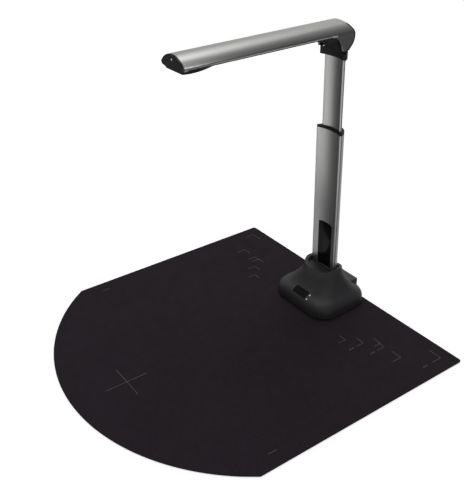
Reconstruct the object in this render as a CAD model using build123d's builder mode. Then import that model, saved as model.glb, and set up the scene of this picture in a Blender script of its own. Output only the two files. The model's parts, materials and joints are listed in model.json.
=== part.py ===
from build123d import *
import os

# Book scanner: a camera arm on a telescopic column, on a weighted base that stands on a soft mat.
# Millimetres, +Z up. The origin is the foot of the column's axis, on the surface under the mat.
# -Y points to the user along the arm, and +X is on the user's right.

os.makedirs("parts", exist_ok=True)

# --- Driving dimensions -----------------------------------------------------------------------

# Gaps: round what slides, between fixed parts, and between close-fitting ones
SLIDE_GAP = 0.3
PART_GAP = 0.1
FIT_CLEARANCE = 0.05

# Mat
MAT_WIDTH = 461.0
MAT_BACK = 36.0
MAT_SIDE_END = -299.0
MAT_FRONT = -420.0
MAT_THICKNESS = 2.0
MAT_CORNER_R = 4.0

# Base: its outline at several heights, from the foot to just above the neck's rim
BASE_BOTTOM = MAT_THICKNESS + 1.0
# (height above the base's bottom edge, front half width, rear half width, front, rear, corner radius)
BASE_SECTIONS = [
    (0.0, 58.9, 54.3, -61.0, 37.0, 26.5),
    (7.0, 58.7, 54.0, -60.7, 36.7, 26.5),
    (13.0, 57.2, 52.4, -59.0, 35.4, 25.8),
    (17.5, 54.2, 49.2, -55.2, 32.1, 24.4),
    (22.0, 48.8, 44.6, -47.4, 26.6, 22.6),
    (28.0, 42.8, 40.0, -39.9, 21.2, 20.6),
    (36.0, 36.6, 35.2, -33.4, 16.9, 19.3),
    (47.0, 31.4, 30.6, -29.0, 13.3, 18.6),
    (59.0, 28.7, 27.7, -26.7, 11.4, 17.8),
    (70.0, 28.0, 26.9, -25.5, 10.7, 17.4),
]
BASE_WALL = 2.4
ROOF_THICKNESS = 1.5
NECK_FLOOR = 50.0
NECK_FLOOR_THICKNESS = 2.4
NECK_WALL = 3.0
RIM_FRONT_Z = 54.0
RIM_SIDE_Z = 60.7
RIM_HALF_SPAN = 30.0
HOUSING_HALF_WIDTH = 27.7
HOUSING_REAR_Y = 38.0
HOUSING_TOP = 27.0
FOOT_PAD_HEIGHT = 1.2
FOOT_PAD_R = 7.0
FOOT_PAD_PLACES = [(-46, -34), (46, -34), (-42, 10), (42, 10)]
PLATE_THICKNESS = 2.0
PLATE_INSET = 3.4
POST_PLACES = [(-34, -44), (34, -44), (-36, 22), (36, 22)]
POST_R = 4.5
POST_BORE_R = 1.3
POST_BORE_DEPTH = 8.0
BASE_SCREW_R = 1.25
BASE_SCREW_LENGTH = 8.4
BASE_SCREW_HEAD_R = 2.75
BASE_SCREW_HEAD = 1.2
WEIGHT_SIZE = (88.0, 49.0, 14.0)
WEIGHT_REAR_Y = 13.0
SOCKET_SIZE = (60.0, 30.0, 12.0)
SOCKET_CORNER_R = 8.0
SOCKET_Y = -1.0
SOCKET_SCREW_Y = -2.0
SOCKET_SCREW_R = 1.5
SOCKET_SCREW_HEAD = (2.8, 1.8)
SOCKET_SCREW_TIP_X = 18.5

# Electronics in the base's rear housing
BOARD_THICKNESS = 1.6
BASE_BOARD_SIZE = (48.0, 20.5)
BASE_BOARD_Y = 25.2
BOARD_SCREW_PLACES = [(-20, 20), (20, 20)]
CONNECTOR_WINDOW = (44.0, 9.0)
CONNECTOR_Z = 18.4
DEVICE_SOCKET = (13.1, 14.0, 5.7)
DEVICE_SOCKET_X = -9.0
DATA_SOCKET = (7.7, 9.0, 3.9)
DATA_SOCKET_X = 10.0
SOCKET_SHEET = 0.4

# Scan control on the slope of the toe
CONTROL_PLANE = Plane(origin=(0, -50.2, 23.2), x_dir=(1, 0, 0), z_dir=(0, -0.5, 0.866))
BUTTON_SIZE = (28.0, 11.4)
BUTTON_CORNER_R = 2.4
BUTTON_GAP = 0.3
BUTTON_SINK = 0.5
BUTTON_FLANGE = 1.3
BUTTON_TRAVEL = 0.8
FLANGE_TOP = -3.2
INDICATOR_PLACES = [(17.2, 3.0), (17.8, -4.6)]
INDICATOR_R = 1.1
CONTROL_BOARD_SIZE = (50.0, 13.0)
CONTROL_BOARD_TOP = -8.4
CONTROL_POST_PLACES = [(-22.5, 0), (22.5, 0)]
CONTROL_POST_R = 2.4
CONTROL_SCREW_R = 0.9
SWITCH_PLACES = [(-8, 0), (8, 0)]
SWITCH_BODY = (6.0, 2.2)

# Column: corner plane and back of the two tubes
OUTER_HALF_WIDTH = 25.2
OUTER_FRONT_Y = -10.8
OUTER_BACK_Y = 10.0
OUTER_HOLLOW = 4.4
OUTER_WALL = 2.0
OUTER_TOP = 266.0
INNER_HALF_WIDTH = 21.0
INNER_FRONT_Y = -7.4
INNER_BACK_Y = 6.0
INNER_HOLLOW = 4.6
INNER_WALL = 1.8
INNER_BOTTOM = 227.0
INNER_TOP = 367.0
CORNER_R = 1.8
COLLAR_HEIGHT = 2.8
BUSH_BOTTOM = 240.0
HEAD_TOP = 376.0
HEAD_HALF_WIDTH = 24.8
HEAD_BACK_Y = 8.6
HEAD_SPIGOT = 15.5
HEAD_SCREW_PLACES = [(-10, 4.2), (10, 4.2)]
HEAD_SCREW_R = 1.2
HEAD_SCREW_HEAD = (2.1, 1.4)
HEAD_SCREW_LENGTH = 8.5
PANEL_HALF_WIDTH = 14.0
PANEL_BOTTOM = 53.0
PANEL_TOP = 124.0
PANEL_ARCH = 1.5
PANEL_SETBACK = 0.8
CABLE_SLOT = (12.0, 2.4)
CABLE_SLOT_Y = 1.6
SHOE_BOTTOM = 213.0
SHOE_TOP = 239.0
PAD_SIZE = (8.0, 3.0, 10.0)
PAD_X = 9.0

# Hinge and arm
HINGE_Y = -13.5
HINGE_Z = 397.5
KNUCKLE_R = 19.8
REAR_CAP_THICKNESS = 2.0
CHEEK_INNER_X = 21.2
KNUCKLE_HOLLOW_R = 17.8
KNUCKLE_SLOT_HALF_WIDTH = 17.0
BARREL_R = 14.2
BARREL_GAP = 0.6
BARREL_HALF_LENGTH = 20.6
PEDESTAL_HALF_WIDTH = 16.0
PEDESTAL_Y = (-9.0, 1.0)
FLANGE_REAR_Y = 7.0
FLANGE_THICKNESS = 2.0
PIN_R = 3.0
PIN_HALF_LENGTH = 23.0
PIN_COVER_R = 4.5
HINGE_BUSH_R = 5.0
HINGE_BUSH_HALF_LENGTH = 18.0
WASHER_THICKNESS = 0.5
ARM_TIP_Y = -245.4
END_CAP_THICKNESS = 2.0
END_CAP_PLUG = 5.0
ARM_HALF_WIDTH = 24.0
ARM_TOP = 414.0
ARM_EDGE = 402.0
ARM_LIP_HALF_WIDTH = 22.0
ARM_LIP = 398.5
ARM_UNDERSIDE = 396.0
ARM_EDGE_R = 2.4
ARM_LIP_R = 1.0
KNUCKLE_EDGE_R = 5.0
ARM_WALL = 1.6
TRAY_HALF_WIDTH = 21.5
TRAY_TOP = 400.2
TRAY_FLANGE_TOP = 400.0
TRAY_REAR_Y = -29.0
RIB_X = 18.5
RIB_WIDTH = 4.0
RIB_BOTTOM = 400.6
TRAY_SCREW_PLACES = [(side * RIB_X, y) for side in (-1, 1) for y in (-190.0, -112.0, -40.0)]
TRAY_SCREW_R = 0.9
TRAY_SCREW_HEAD = (1.9, 0.7)
TRAY_SCREW_SEAT = 2.6
POD_HALF_WIDTH = 17.5
POD_BOTTOM = 393.9
POD_TOP = 399.5
POD_NOSE = 0.7
POD_FRONT_Y = -243.2
POD_REAR_Y = -200.5
LENS_Y = -230.0
TIP_INDICATOR_Z = 408.0
LENS_R = 6.0
LENS_BARREL_TOP = 403.0
CAMERA_BOARD_HALF_WIDTH = 13.0
CAMERA_BOARD_Y = (-235.5, -206.0)
LAMP_BOARD_BOTTOM = 402.6
TIP_INDICATOR_R = 1.2
LAMP_Y = (-185.0, -150.0)
LAMP_HALF_WIDTH = 12.0

ABOVE_RIM_Z = BASE_BOTTOM + BASE_SECTIONS[-1][0] + 5
PLATE_BOTTOM = MAT_THICKNESS + FOOT_PAD_HEIGHT
PLATE_TOP = PLATE_BOTTOM + PLATE_THICKNESS
WEIGHT_TOP = PLATE_TOP + WEIGHT_SIZE[2]
BASE_BOARD_TOP = CONNECTOR_Z - DEVICE_SOCKET[2] / 2
BASE_BOARD_BOTTOM = BASE_BOARD_TOP - BOARD_THICKNESS
CAMERA_BOARD_BOTTOM = LENS_BARREL_TOP + 1.5
LAMP_CENTRE_Y = (LAMP_Y[0] + LAMP_Y[1]) / 2
PEDESTAL_LENGTH = PEDESTAL_Y[1] - PEDESTAL_Y[0]
SWITCH_TOP = FLANGE_TOP - BUTTON_FLANGE - BUTTON_TRAVEL - 0.1
SOCKET_SIDES = [(SOCKET_SCREW_Y, WEIGHT_TOP + SOCKET_SIZE[2] / 2)]
ARM_CROWN_R = (ARM_HALF_WIDTH**2 + (ARM_TOP - ARM_EDGE) ** 2) / (2 * (ARM_TOP - ARM_EDGE))

# --- Outlines ---------------------------------------------------------------------------------


def crescent(half_width, front_y, back_y, hollow, corner_r):
    """A column section: a round back and a hollow front that meet at two rounded corners."""
    with BuildSketch() as outline:
        with BuildLine():
            ThreePointArc((-half_width, front_y), (0, front_y + hollow), (half_width, front_y))
            ThreePointArc((half_width, front_y), (0, back_y), (-half_width, front_y))
        make_face()
        fillet(outline.vertices(), corner_r)
    return outline.sketch


def grown(face, amount):
    """The outline set out by amount, or in where amount is negative."""
    with BuildSketch() as result:
        offset(face, amount=amount, kind=Kind.ARC)
    return result.sketch


def lens(inset=0.0):
    """The arm's section, set in by inset: arched top, canted edges, gently arched underside."""
    with BuildSketch() as outline:
        with BuildLine():
            ThreePointArc((-ARM_HALF_WIDTH, ARM_EDGE), (0, ARM_TOP), (ARM_HALF_WIDTH, ARM_EDGE))
            Line((ARM_HALF_WIDTH, ARM_EDGE), (ARM_LIP_HALF_WIDTH, ARM_LIP))
            ThreePointArc(
                (ARM_LIP_HALF_WIDTH, ARM_LIP), (0, ARM_UNDERSIDE), (-ARM_LIP_HALF_WIDTH, ARM_LIP)
            )
            Line((-ARM_LIP_HALF_WIDTH, ARM_LIP), (-ARM_HALF_WIDTH, ARM_EDGE))
        make_face()
        if inset:
            offset(amount=-inset, kind=Kind.INTERSECTION, mode=Mode.REPLACE)
        fillet(outline.vertices().group_by(Axis.Y)[-1], ARM_EDGE_R - inset)
        fillet(outline.vertices().group_by(Axis.Y)[0], ARM_LIP_R / (1 + inset))
    return outline.sketch


def tray_room(margin):
    """What the tray takes of the arm's section: its floor, and a flange under the lips."""
    with BuildSketch() as outline:
        with Locations((0, TRAY_TOP + margin)):
            Rectangle(2 * (TRAY_HALF_WIDTH + margin), 12, align=(Align.CENTER, Align.MAX))
        with Locations((0, TRAY_FLANGE_TOP + margin)):
            Rectangle(4 * ARM_HALF_WIDTH, 12, align=(Align.CENTER, Align.MAX))
    return outline.sketch


def arch(inset, half_width, bottom):
    """Everything under the arm's arched top, set in by inset, down to bottom."""
    with BuildSketch() as outline:
        with Locations((0, ARM_TOP - ARM_CROWN_R)):
            Circle(ARM_CROWN_R - inset)
        with Locations((0, bottom)):
            Rectangle(
                2 * half_width,
                ARM_TOP - bottom,
                align=(Align.CENTER, Align.MIN),
                mode=Mode.INTERSECT,
            )
    return outline.sketch


def foot_outline(front_half_width, rear_half_width, front_y, rear_y, corner_r):
    """The base's plan at one height: wider in front than behind, with rounded corners."""
    with BuildSketch() as outline:
        with BuildLine():
            Polyline(
                (-front_half_width, front_y),
                (front_half_width, front_y),
                (rear_half_width, rear_y),
                (-rear_half_width, rear_y),
                close=True,
            )
        make_face()
        fillet(outline.vertices(), corner_r)
    return outline.sketch


def rounded(width, length, corner_r, centre=(0, 0)):
    """A rectangle with rounded corners."""
    with BuildSketch() as outline:
        with Locations(centre):
            RectangleRounded(width, length, corner_r)
    return outline.sketch


def rings(places, outer_r, inner_r=0.0):
    """A disc at each place, with a hole through it where inner_r is given."""
    with BuildSketch() as outline:
        with Locations(*places):
            Circle(outer_r)
            if inner_r:
                Circle(inner_r, mode=Mode.SUBTRACT)
    return outline.sketch


def panel_window(margin):
    """The arch-topped opening in the column's front, less margin all round."""
    half_width = PANEL_HALF_WIDTH - margin
    bottom = PANEL_BOTTOM + margin
    top = PANEL_TOP - margin
    with BuildSketch() as outline:
        with BuildLine():
            Polyline(
                (-half_width, top), (-half_width, bottom), (half_width, bottom), (half_width, top)
            )
            ThreePointArc((half_width, top), (0, top + PANEL_ARCH), (-half_width, top))
        make_face()
    return outline.sketch


def knuckle_profile():
    """The side outline of the arm's rear end: a round heel and a slanting front edge below."""
    lip_start = (HINGE_Y - 9.8, ARM_LIP)
    heel = (HINGE_Y + 1.5, HINGE_Z - (KNUCKLE_R**2 - 1.5**2) ** 0.5)
    crown = (HINGE_Y, HINGE_Z + KNUCKLE_R)
    with BuildSketch() as outline:
        with BuildLine():
            ThreePointArc(lip_start, (HINGE_Y - 3.0, HINGE_Z - 8.0), heel)
            ThreePointArc(heel, (HINGE_Y + KNUCKLE_R, HINGE_Z), crown)
            Polyline(crown, (lip_start[0], crown[1]), lip_start)
        make_face()
    return outline.sketch


def heel_ring(low_degrees, high_degrees):
    """The sector of the knuckle's outer skin that the rear cap takes up."""
    middle = (low_degrees + high_degrees) / 2
    inner_r = KNUCKLE_R - REAR_CAP_THICKNESS
    outer_r = KNUCKLE_R + 2.0
    centre = Vector(HINGE_Y, HINGE_Z)

    def point(radius, degrees):
        return centre + Vector(radius, 0).rotate(Axis.Z, degrees)

    with BuildSketch() as outline:
        with BuildLine():
            ThreePointArc(
                point(inner_r, low_degrees), point(inner_r, middle), point(inner_r, high_degrees)
            )
            Line(point(inner_r, high_degrees), point(outer_r, high_degrees))
            ThreePointArc(
                point(outer_r, high_degrees), point(outer_r, middle), point(outer_r, low_degrees)
            )
            Line(point(outer_r, low_degrees), point(inner_r, low_degrees))
        make_face()
    return outline.sketch


def hinge_disc(radius):
    """A disc about the hinge axis, drawn on a side plane."""
    return rings([(HINGE_Y, HINGE_Z)], radius)


def save(piece, name):
    """Label one finished piece and write it to its own file."""
    piece.part.label = name
    export_step(piece.part, f"parts/{name}.step")


outer_outline = crescent(OUTER_HALF_WIDTH, OUTER_FRONT_Y, OUTER_BACK_Y, OUTER_HOLLOW, CORNER_R)
inner_outline = crescent(INNER_HALF_WIDTH, INNER_FRONT_Y, INNER_BACK_Y, INNER_HOLLOW, CORNER_R)
outer_bore = grown(outer_outline, -OUTER_WALL)
inner_bore = grown(inner_outline, -INNER_WALL)
arm_outline = lens()
arm_bore = lens(ARM_WALL)

# --- Mat --------------------------------------------------------------------------------------

with BuildPart() as scan_mat:
    with BuildSketch() as mat_outline:
        with BuildLine():
            Polyline(
                (-MAT_WIDTH / 2, MAT_SIDE_END),
                (-MAT_WIDTH / 2, MAT_BACK),
                (MAT_WIDTH / 2, MAT_BACK),
                (MAT_WIDTH / 2, MAT_SIDE_END),
            )
            ThreePointArc(
                (MAT_WIDTH / 2, MAT_SIDE_END), (0, MAT_FRONT), (-MAT_WIDTH / 2, MAT_SIDE_END)
            )
        make_face()
        fillet(mat_outline.vertices(), MAT_CORNER_R)
    extrude(amount=MAT_THICKNESS)
save(scan_mat, "scan_mat")

# --- Base: shell ------------------------------------------------------------------------------

with BuildPart() as base_body:
    for height, *plan in BASE_SECTIONS:
        with BuildSketch(Plane.XY.offset(BASE_BOTTOM + height)):
            add(foot_outline(*plan))
    loft()

with BuildPart() as housing_body:
    with BuildSketch(Plane.XY.offset(BASE_BOTTOM)):
        with Locations((0, HOUSING_REAR_Y)):
            Rectangle(2 * HOUSING_HALF_WIDTH, HOUSING_REAR_Y, align=(Align.CENTER, Align.MAX))
    extrude(amount=HOUSING_TOP - BASE_BOTTOM)
    fillet(housing_body.edges().filter_by(Axis.Z).group_by(Axis.Y)[-1], 2.5)
    fillet(housing_body.faces().sort_by(Axis.Z)[-1].edges().group_by(Axis.Y)[-1], 1.5)

with BuildPart() as base_cavity:
    for height, *plan in BASE_SECTIONS:
        with BuildSketch(Plane.XY.offset(BASE_BOTTOM + max(0, height - ROOF_THICKNESS))):
            add(grown(foot_outline(*plan), -BASE_WALL))
    loft()
    with BuildSketch(Plane.XY.offset(NECK_FLOOR)):
        Rectangle(200, 200)
    extrude(amount=20, mode=Mode.SUBTRACT)
    with BuildSketch(Plane.XY.offset(BASE_BOTTOM)):
        with Locations((0, HOUSING_REAR_Y - BASE_WALL)):
            Rectangle(
                2 * (HOUSING_HALF_WIDTH - BASE_WALL), 30, align=(Align.CENTER, Align.MAX)
            )
    extrude(amount=HOUSING_TOP - BASE_WALL - BASE_BOTTOM)
    # Posts that carry the base plate, and two that carry the control board
    with BuildSketch(Plane.XY.offset(PLATE_TOP)):
        add(rings(POST_PLACES, POST_R))
    extrude(amount=60, mode=Mode.SUBTRACT)
    with BuildSketch(CONTROL_PLANE.offset(CONTROL_BOARD_TOP)):
        add(rings(CONTROL_POST_PLACES, CONTROL_POST_R))
    extrude(amount=15, mode=Mode.SUBTRACT)

with BuildPart() as base_shell:
    add(base_body.part)
    add(housing_body.part)
    add(base_cavity.part, mode=Mode.SUBTRACT)
    # Cup in the neck, and the hole that the column stands through
    with BuildSketch(Plane.XY.offset(NECK_FLOOR + NECK_FLOOR_THICKNESS)):
        add(grown(foot_outline(*BASE_SECTIONS[-2][1:]), -NECK_WALL))
    extrude(amount=20, mode=Mode.SUBTRACT)
    with BuildSketch(Plane.XY.offset(NECK_FLOOR - 5)):
        add(grown(outer_outline, 0.2))
    extrude(amount=30, mode=Mode.SUBTRACT)
    # The rim dips at the front and stands up at the sides
    with BuildSketch(Plane.XZ):
        with BuildLine():
            ThreePointArc(
                (-RIM_HALF_SPAN, RIM_SIDE_Z), (0, RIM_FRONT_Z), (RIM_HALF_SPAN, RIM_SIDE_Z)
            )
            Polyline(
                (RIM_HALF_SPAN, RIM_SIDE_Z),
                (RIM_HALF_SPAN, ABOVE_RIM_Z),
                (-RIM_HALF_SPAN, ABOVE_RIM_Z),
                (-RIM_HALF_SPAN, RIM_SIDE_Z),
            )
        make_face()
    extrude(amount=40, both=True, mode=Mode.SUBTRACT)
    # Connector window in the housing's rear wall
    with BuildSketch(Plane.XZ.offset(-HOUSING_REAR_Y)):
        with Locations((0, CONNECTOR_Z)):
            Rectangle(*CONNECTOR_WINDOW)
    extrude(amount=BASE_WALL, mode=Mode.SUBTRACT)
    # Screw holes in the posts
    with BuildSketch(Plane.XY.offset(PLATE_TOP)):
        add(rings(POST_PLACES, POST_BORE_R))
    extrude(amount=POST_BORE_DEPTH, mode=Mode.SUBTRACT)
    with BuildSketch(CONTROL_PLANE.offset(CONTROL_BOARD_TOP)):
        add(rings(CONTROL_POST_PLACES, CONTROL_SCREW_R + 0.1))
    extrude(amount=5, mode=Mode.SUBTRACT)
    # Opening for the scan button, and a hole for each indicator
    with BuildSketch(CONTROL_PLANE.offset(-6)):
        add(
            rounded(
                BUTTON_SIZE[0] + 2 * BUTTON_GAP,
                BUTTON_SIZE[1] + 2 * BUTTON_GAP,
                BUTTON_CORNER_R + BUTTON_GAP,
            )
        )
        add(rings(INDICATOR_PLACES, INDICATOR_R + 0.05))
    extrude(amount=20, mode=Mode.SUBTRACT)
save(base_shell, "base_shell")

# --- Base: what it holds ----------------------------------------------------------------------

with BuildPart() as base_plate:
    with BuildSketch(Plane.XY.offset(PLATE_BOTTOM)):
        add(grown(foot_outline(*BASE_SECTIONS[0][1:]), -PLATE_INSET))
    extrude(amount=PLATE_THICKNESS)
    with BuildSketch(Plane.XY.offset(PLATE_TOP)):
        add(rings(BOARD_SCREW_PLACES, 3.0))
    extrude(amount=BASE_BOARD_BOTTOM - PLATE_TOP)
    with BuildSketch(Plane.XY.offset(PLATE_BOTTOM)):
        add(rings(POST_PLACES, BASE_SCREW_R + 0.35))
    extrude(amount=PLATE_THICKNESS, mode=Mode.SUBTRACT)
    with BuildSketch(Plane.XY.offset(PLATE_BOTTOM)):
        add(rings(POST_PLACES, BASE_SCREW_HEAD_R + PART_GAP))
    extrude(amount=BASE_SCREW_HEAD + PART_GAP, mode=Mode.SUBTRACT)
    with BuildSketch(Plane.XY.offset(PLATE_TOP + 2)):
        add(rings(BOARD_SCREW_PLACES, 1.1))
    extrude(amount=BASE_BOARD_BOTTOM - PLATE_TOP - 2, mode=Mode.SUBTRACT)
save(base_plate, "base_plate")

with BuildPart() as base_feet:
    with BuildSketch(Plane.XY.offset(MAT_THICKNESS)):
        add(rings(FOOT_PAD_PLACES, FOOT_PAD_R))
    extrude(amount=FOOT_PAD_HEIGHT)
save(base_feet, "base_feet")

with BuildPart() as base_screws:
    with BuildSketch(Plane.XY.offset(PLATE_BOTTOM)):
        add(rings(POST_PLACES, BASE_SCREW_HEAD_R))
    extrude(amount=BASE_SCREW_HEAD)
    with BuildSketch(Plane.XY.offset(PLATE_BOTTOM + BASE_SCREW_HEAD)):
        add(rings(POST_PLACES, BASE_SCREW_R))
    extrude(amount=BASE_SCREW_LENGTH)
    # Cross recess in each head
    with BuildSketch(Plane.XY.offset(PLATE_BOTTOM)):
        with Locations(*POST_PLACES):
            Rectangle(3.0, 0.7)
            Rectangle(0.7, 3.0)
    extrude(amount=0.8, mode=Mode.SUBTRACT)
save(base_screws, "base_screws")

with BuildPart() as base_weight:
    with BuildSketch(Plane.XY.offset(PLATE_TOP)):
        with Locations((0, WEIGHT_REAR_Y)):
            Rectangle(WEIGHT_SIZE[0], WEIGHT_SIZE[1], align=(Align.CENTER, Align.MAX))
    extrude(amount=WEIGHT_SIZE[2])
    fillet(base_weight.edges().filter_by(Axis.Z), 4)
    chamfer(base_weight.faces().sort_by(Axis.Z)[-1].edges(), 1)
    with BuildSketch(Plane.XY.offset(PLATE_TOP)):
        add(grown(outer_outline, 1.5))
    extrude(amount=WEIGHT_SIZE[2], mode=Mode.SUBTRACT)
save(base_weight, "base_weight")

with BuildPart() as tube_socket:
    with BuildSketch(Plane.XY.offset(WEIGHT_TOP)):
        add(rounded(SOCKET_SIZE[0], SOCKET_SIZE[1], SOCKET_CORNER_R, (0, SOCKET_Y)))
        add(grown(outer_outline, PART_GAP), mode=Mode.SUBTRACT)
    extrude(amount=SOCKET_SIZE[2])
    with BuildSketch(Plane.YZ):
        add(rings(SOCKET_SIDES, SOCKET_SCREW_R + PART_GAP))
    extrude(amount=SOCKET_SIZE[0], both=True, mode=Mode.SUBTRACT)
save(tube_socket, "tube_socket")

with BuildPart() as socket_screws:
    for side in (-1, 1):
        with BuildSketch(Plane.YZ.offset(side * SOCKET_SCREW_TIP_X)):
            add(rings(SOCKET_SIDES, SOCKET_SCREW_R))
        extrude(amount=side * (SOCKET_SIZE[0] / 2 - SOCKET_SCREW_TIP_X))
        with BuildSketch(Plane.YZ.offset(side * SOCKET_SIZE[0] / 2)):
            add(rings(SOCKET_SIDES, SOCKET_SCREW_HEAD[0]))
        extrude(amount=side * SOCKET_SCREW_HEAD[1])
        # Hexagon recess in each head
        with BuildSketch(Plane.YZ.offset(side * (SOCKET_SIZE[0] / 2 + SOCKET_SCREW_HEAD[1]))):
            with Locations(*SOCKET_SIDES):
                RegularPolygon(1.4, 6)
        extrude(amount=-side * 1.2, mode=Mode.SUBTRACT)
save(socket_screws, "socket_screws")

with BuildPart() as base_board:
    with BuildSketch(Plane.XY.offset(BASE_BOARD_BOTTOM)):
        with Locations((0, BASE_BOARD_Y)):
            Rectangle(*BASE_BOARD_SIZE)
        add(rings(BOARD_SCREW_PLACES, 1.3), mode=Mode.SUBTRACT)
    extrude(amount=BOARD_THICKNESS)
    # Interface chip and a row of capacitors
    with BuildSketch(Plane.XY.offset(BASE_BOARD_TOP)):
        with Locations((0, 18.6)):
            Rectangle(6, 6)
        with Locations((-12, 18), (12, 18)):
            Rectangle(2.0, 1.25)
    extrude(amount=1.0)
save(base_board, "base_board")

with BuildPart() as board_screws:
    with BuildSketch(Plane.XY.offset(BASE_BOARD_TOP)):
        add(rings(BOARD_SCREW_PLACES, 2.1))
    extrude(amount=1.3)
    with BuildSketch(Plane.XY.offset(BASE_BOARD_TOP)):
        add(rings(BOARD_SCREW_PLACES, 1.0))
    extrude(amount=-6.5)
save(board_screws, "board_screws")


def connector(size, x, tongue):
    """A metal socket shell with a contact tongue, open to the rear, standing on the base board."""
    width, depth, height = size
    centre = (x, BASE_BOARD_TOP + height / 2)
    with BuildPart() as socket:
        with BuildSketch(Plane.XZ.offset(-HOUSING_REAR_Y)):
            with Locations(centre):
                RectangleRounded(width, height, height * 0.2)
        extrude(amount=depth)
        with BuildSketch(Plane.XZ.offset(-HOUSING_REAR_Y)):
            with Locations(centre):
                RectangleRounded(width - 2 * SOCKET_SHEET, height - 2 * SOCKET_SHEET, height * 0.13)
                Rectangle(*tongue, mode=Mode.SUBTRACT)
        extrude(amount=depth - 1.5, mode=Mode.SUBTRACT)
        # The tongue stops short of the mouth
        with BuildSketch(Plane.XZ.offset(-HOUSING_REAR_Y)):
            with Locations(centre):
                Rectangle(width - 2 * SOCKET_SHEET - 0.4, tongue[1] + 0.2)
        extrude(amount=1.0, mode=Mode.SUBTRACT)
    return socket


usb_device_socket = connector(DEVICE_SOCKET, DEVICE_SOCKET_X, (10.8, 1.8))
save(usb_device_socket, "usb_device_socket")

usb_data_socket = connector(DATA_SOCKET, DATA_SOCKET_X, (5.2, 0.7))
save(usb_data_socket, "usb_data_socket")

with BuildPart() as rear_panel:
    with BuildSketch(Plane.XZ.offset(-HOUSING_REAR_Y)):
        with Locations((0, CONNECTOR_Z)):
            Rectangle(CONNECTOR_WINDOW[0] - 2 * PART_GAP, CONNECTOR_WINDOW[1] - 2 * PART_GAP)
        for size, x in ((DEVICE_SOCKET, DEVICE_SOCKET_X), (DATA_SOCKET, DATA_SOCKET_X)):
            with Locations((x, BASE_BOARD_TOP + size[2] / 2)):
                Rectangle(size[0] + 2 * PART_GAP, size[2] + 2 * PART_GAP, mode=Mode.SUBTRACT)
    extrude(amount=BASE_WALL)
save(rear_panel, "rear_panel")

# --- Scan control -----------------------------------------------------------------------------

with BuildPart() as scan_button:
    with BuildSketch(CONTROL_PLANE.offset(FLANGE_TOP)):
        add(rounded(*BUTTON_SIZE, BUTTON_CORNER_R))
    extrude(amount=-FLANGE_TOP - BUTTON_SINK)
    fillet(scan_button.faces().sort_by(Axis((0, 0, 0), (0, -0.5, 0.866)))[-1].edges(), 0.5)
    with BuildSketch(CONTROL_PLANE.offset(FLANGE_TOP - BUTTON_FLANGE)):
        add(rounded(BUTTON_SIZE[0] + 2, BUTTON_SIZE[1] + 2, BUTTON_CORNER_R))
    extrude(amount=BUTTON_FLANGE)
save(scan_button, "scan_button")

with BuildPart() as control_board:
    with BuildSketch(CONTROL_PLANE.offset(CONTROL_BOARD_TOP)):
        add(rounded(*CONTROL_BOARD_SIZE, 1.5))
        add(rings(CONTROL_POST_PLACES, CONTROL_SCREW_R + 0.2), mode=Mode.SUBTRACT)
    extrude(amount=-BOARD_THICKNESS)
save(control_board, "control_board")

with BuildPart() as control_switches:
    with BuildSketch(CONTROL_PLANE.offset(CONTROL_BOARD_TOP)):
        with Locations(*SWITCH_PLACES):
            Rectangle(SWITCH_BODY[0], SWITCH_BODY[0])
    extrude(amount=SWITCH_BODY[1])
    with BuildSketch(CONTROL_PLANE.offset(CONTROL_BOARD_TOP + SWITCH_BODY[1])):
        add(rings(SWITCH_PLACES, 1.7))
    extrude(amount=SWITCH_TOP - CONTROL_BOARD_TOP - SWITCH_BODY[1])
save(control_switches, "control_switches")

with BuildPart() as control_screws:
    with BuildSketch(CONTROL_PLANE.offset(CONTROL_BOARD_TOP - BOARD_THICKNESS)):
        add(rings(CONTROL_POST_PLACES, 1.9))
    extrude(amount=-1.2)
    with BuildSketch(CONTROL_PLANE.offset(CONTROL_BOARD_TOP - BOARD_THICKNESS)):
        add(rings(CONTROL_POST_PLACES, CONTROL_SCREW_R))
    extrude(amount=BOARD_THICKNESS + 4.5)
save(control_screws, "control_screws")

with BuildPart() as indicator_lamps:
    with BuildSketch(CONTROL_PLANE.offset(CONTROL_BOARD_TOP)):
        add(rings(INDICATOR_PLACES, INDICATOR_R))
    extrude(amount=-CONTROL_BOARD_TOP + 0.2)
save(indicator_lamps, "indicator_lamps")

# --- Column: fixed stage ----------------------------------------------------------------------

with BuildPart() as outer_tube:
    with BuildSketch(Plane.XY.offset(PLATE_TOP)):
        add(outer_outline)
        add(outer_bore, mode=Mode.SUBTRACT)
    extrude(amount=OUTER_TOP - PLATE_TOP)
    with BuildSketch(Plane.XZ):
        add(panel_window(0))
    extrude(amount=30, mode=Mode.SUBTRACT)
    with BuildSketch(Plane.YZ):
        add(rings(SOCKET_SIDES, SOCKET_SCREW_R + PART_GAP))
    extrude(amount=SOCKET_SIZE[0], both=True, mode=Mode.SUBTRACT)
save(outer_tube, "outer_tube")

with BuildPart() as column_panel:
    with BuildSketch(Plane.XY.offset(PANEL_BOTTOM - 1)):
        add(grown(outer_outline, -PANEL_SETBACK))
        add(outer_bore, mode=Mode.SUBTRACT)
    extrude(amount=PANEL_TOP - PANEL_BOTTOM + 5)
    with BuildSketch(Plane.XZ):
        add(panel_window(PART_GAP))
    extrude(amount=30, mode=Mode.INTERSECT)
save(column_panel, "column_panel")

with BuildPart() as guide_bush:
    with BuildSketch(Plane.XY.offset(BUSH_BOTTOM)):
        add(grown(outer_bore, -PART_GAP))
        add(grown(inner_outline, SLIDE_GAP), mode=Mode.SUBTRACT)
    extrude(amount=OUTER_TOP - PART_GAP - BUSH_BOTTOM)
save(guide_bush, "guide_bush")

with BuildPart() as column_collar:
    with BuildSketch(Plane.XY.offset(OUTER_TOP)):
        add(outer_outline)
        add(grown(inner_outline, SLIDE_GAP), mode=Mode.SUBTRACT)
    extrude(amount=COLLAR_HEIGHT)
    chamfer(column_collar.faces().sort_by(Axis.Z)[-1].outer_wire().edges(), 0.5)
save(column_collar, "column_collar")

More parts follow.
